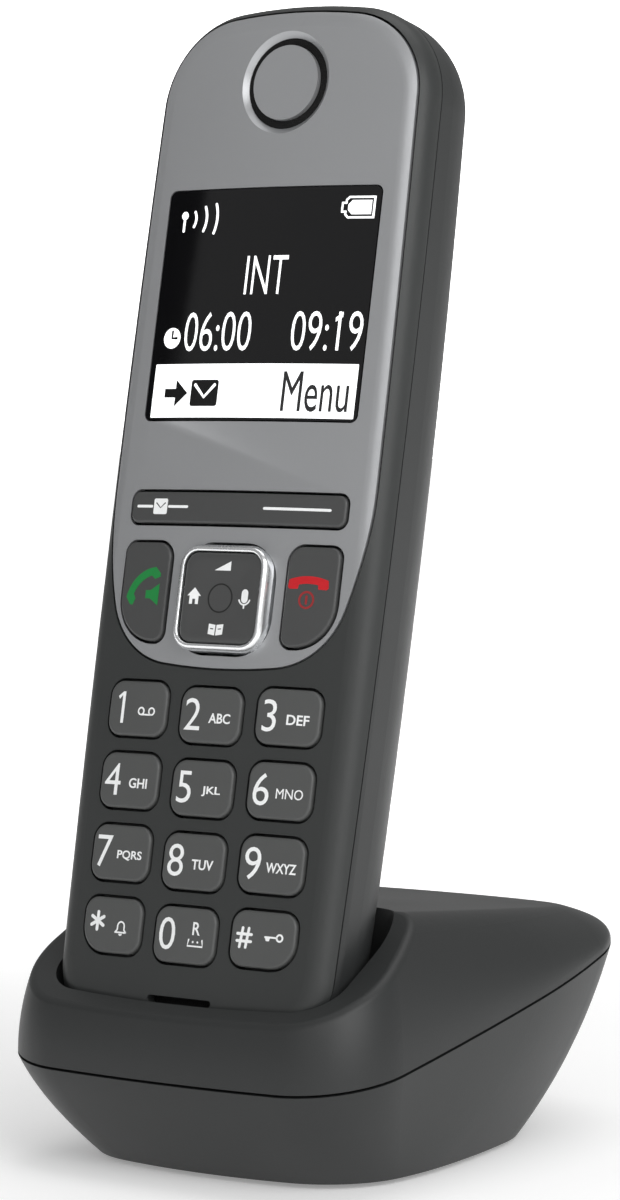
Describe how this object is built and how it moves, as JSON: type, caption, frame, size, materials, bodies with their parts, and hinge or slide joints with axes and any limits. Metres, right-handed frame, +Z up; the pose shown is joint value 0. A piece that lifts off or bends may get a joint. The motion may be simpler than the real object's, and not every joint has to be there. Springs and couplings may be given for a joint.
{
  "type": "cordless phone",
  "caption": "Cordless telephone handset with keypad, colour display and four-way key, leaning back in a low rounded charging base with a parting line",
  "frame": {"origin": "on the table, under the middle of the base's overall box", "axes": "+Z up, the keypad faces -Y, +X to the right as seen from the front"},
  "size_m": [0.067, 0.0904, 0.1689],
  "materials": {
    "shell": "fine satin texture",
    "shell_back": "fine satin texture",
    "base_casing": "fine satin texture",
    "face_metal": "satin metallic",
    "keycap": "satin",
    "keycap_dark": "smooth",
    "call_green": "translucent",
    "call_red": "translucent",
    "bright_rim": "polished",
    "window": "polished",
    "lcd": "polished",
    "light_guide": "clear",
    "mesh": "woven",
    "silicone": "soft",
    "rubber": "soft",
    "steel": "plain",
    "gold": "plated",
    "board": "solder mask",
    "socket": "plain",
    "cell": "printed sleeve",
    "speaker": "plain",
    "print_white": "printed"
  },
  "bodies": {
    "base": {"base_top_shell": "base_casing", "base_bottom_shell": "base_casing", "line_socket": "socket", "power_socket": "socket", "base_board": "board", "base_antenna": "gold", "contact_carrier": "socket", "contact_springs": "steel", "base_feet": "rubber", "base_screws": "steel"},
    "handset": {"front_shell": "shell", "back_shell": "shell_back", "face_plate": "face_metal", "key_mat": "silicone", "key_domes": "steel", "main_board": "board", "display_window": "window", "display_glass": "lcd", "light_guide": "light_guide", "earpiece_disc": "face_metal", "earpiece_mesh": "mesh", "ear_speaker": "speaker", "microphone": "speaker", "ringer_speaker": "speaker", "battery_cells": "cell", "battery_contacts": "steel", "charge_pads": "gold", "handset_screws": "steel", "handset_antenna": "gold"},
    "battery_door": {"battery_door": "shell_back"},
    "softkey_bar": {"softkey_bar": "keycap_dark"},
    "call_key": {"call_key": "keycap"},
    "end_key": {"end_key": "keycap"},
    "nav_actuator": {"nav_actuator": "silicone"},
    "nav_key_rim": {"nav_key_rim": "bright_rim"},
    "nav_key_pad": {"nav_key_pad": "keycap_dark"},
    "charge_contact_left": {"charge_contact_left": "gold"},
    "charge_contact_right": {"charge_contact_right": "gold"},
    "page_key": {"page_key": "keycap"},
    "key_star": {"key_star": "keycap"},
    "key_0": {"key_0": "keycap"},
    "key_hash": {"key_hash": "keycap"},
    "key_7": {"key_7": "keycap"},
    "key_8": {"key_8": "keycap"},
    "key_9": {"key_9": "keycap"},
    "key_4": {"key_4": "keycap"},
    "key_5": {"key_5": "keycap"},
    "key_6": {"key_6": "keycap"},
    "key_1": {"key_1": "keycap"},
    "key_2": {"key_2": "keycap"},
    "key_3": {"key_3": "keycap"}
  },
  "joints": [
    {"name": "handset_lift", "type": "slide", "parent": "base", "child": "handset", "axis": [0, 0.2028, 0.9792], "range_m": [0, 0.07]},
    {"name": "battery_door_open", "type": "hinge", "parent": "handset", "child": "battery_door", "pos_m": [0, -0.01508, 0.04514], "axis": [1, 0, 0], "range_deg": [-40, 0]},
    {"name": "key_star_press", "type": "slide", "parent": "handset", "child": "key_star", "axis": [0, 0.9792, -0.2028], "range_m": [0, 0.0005], "stiffness_N_per_m": 800},
    {"name": "key_0_press", "type": "slide", "parent": "handset", "child": "key_0", "axis": [0, 0.9792, -0.2028], "range_m": [0, 0.0005], "stiffness_N_per_m": 800},
    {"name": "key_hash_press", "type": "slide", "parent": "handset", "child": "key_hash", "axis": [0, 0.9792, -0.2028], "range_m": [0, 0.0005], "stiffness_N_per_m": 800},
    {"name": "key_7_press", "type": "slide", "parent": "handset", "child": "key_7", "axis": [0, 0.9792, -0.2028], "range_m": [0, 0.0005], "stiffness_N_per_m": 800},
    {"name": "key_8_press", "type": "slide", "parent": "handset", "child": "key_8", "axis": [0, 0.9792, -0.2028], "range_m": [0, 0.0005], "stiffness_N_per_m": 800},
    {"name": "key_9_press", "type": "slide", "parent": "handset", "child": "key_9", "axis": [0, 0.9792, -0.2028], "range_m": [0, 0.0005], "stiffness_N_per_m": 800},
    {"name": "key_4_press", "type": "slide", "parent": "handset", "child": "key_4", "axis": [0, 0.9792, -0.2028], "range_m": [0, 0.0005], "stiffness_N_per_m": 800},
    {"name": "key_5_press", "type": "slide", "parent": "handset", "child": "key_5", "axis": [0, 0.9792, -0.2028], "range_m": [0, 0.0005], "stiffness_N_per_m": 800},
    {"name": "key_6_press", "type": "slide", "parent": "handset", "child": "key_6", "axis": [0, 0.9792, -0.2028], "range_m": [0, 0.0005], "stiffness_N_per_m": 800},
    {"name": "key_1_press", "type": "slide", "parent": "handset", "child": "key_1", "axis": [0, 0.9792, -0.2028], "range_m": [0, 0.0005], "stiffness_N_per_m": 800},
    {"name": "key_2_press", "type": "slide", "parent": "handset", "child": "key_2", "axis": [0, 0.9792, -0.2028], "range_m": [0, 0.0005], "stiffness_N_per_m": 800},
    {"name": "key_3_press", "type": "slide", "parent": "handset", "child": "key_3", "axis": [0, 0.9792, -0.2028], "range_m": [0, 0.0005], "stiffness_N_per_m": 800},
    {"name": "call_key_press", "type": "slide", "parent": "handset", "child": "call_key", "axis": [0, 0.9792, -0.2028], "range_m": [0, 0.0005], "stiffness_N_per_m": 800},
    {"name": "end_key_press", "type": "slide", "parent": "handset", "child": "end_key", "axis": [0, 0.9792, -0.2028], "range_m": [0, 0.0005], "stiffness_N_per_m": 800},
    {"name": "softkey_bar_rock", "type": "hinge", "parent": "handset", "child": "softkey_bar", "pos_m": [0, -0.02271, 0.09513], "axis": [0, 0.2028, 0.9792], "range_deg": [-1.4, 1.4], "stiffness_Nm_per_rad": 0.3},
    {"name": "nav_press", "type": "slide", "parent": "handset", "child": "nav_actuator", "axis": [0, 0.9792, -0.2028], "range_m": [0, 0.0004], "stiffness_N_per_m": 800},
    {"name": "nav_tilt_up_down", "type": "hinge", "parent": "nav_actuator", "child": "nav_key_rim", "pos_m": [0, -0.02548, 0.08222], "axis": [1, 0, 0], "range_deg": [-1.5, 1.5], "stiffness_Nm_per_rad": 0.1},
    {"name": "nav_tilt_left_right", "type": "hinge", "parent": "nav_key_rim", "child": "nav_key_pad", "pos_m": [0, -0.02563, 0.08225], "axis": [0, 0.2028, 0.9792], "range_deg": [-1.2, 1.2], "stiffness_Nm_per_rad": 0.1},
    {"name": "charge_contact_left_press", "type": "slide", "parent": "base", "child": "charge_contact_left", "axis": [0, 0.2028, 0.9792], "range_m": [-0.0008, 0], "stiffness_N_per_m": 300},
    {"name": "charge_contact_right_press", "type": "slide", "parent": "base", "child": "charge_contact_right", "axis": [0, 0.2028, 0.9792], "range_m": [-0.0008, 0], "stiffness_N_per_m": 300},
    {"name": "page_key_press", "type": "slide", "parent": "base", "child": "page_key", "axis": [0, -0.891, 0.454], "range_m": [0, 0.0006], "stiffness_N_per_m": 800}
  ]
}
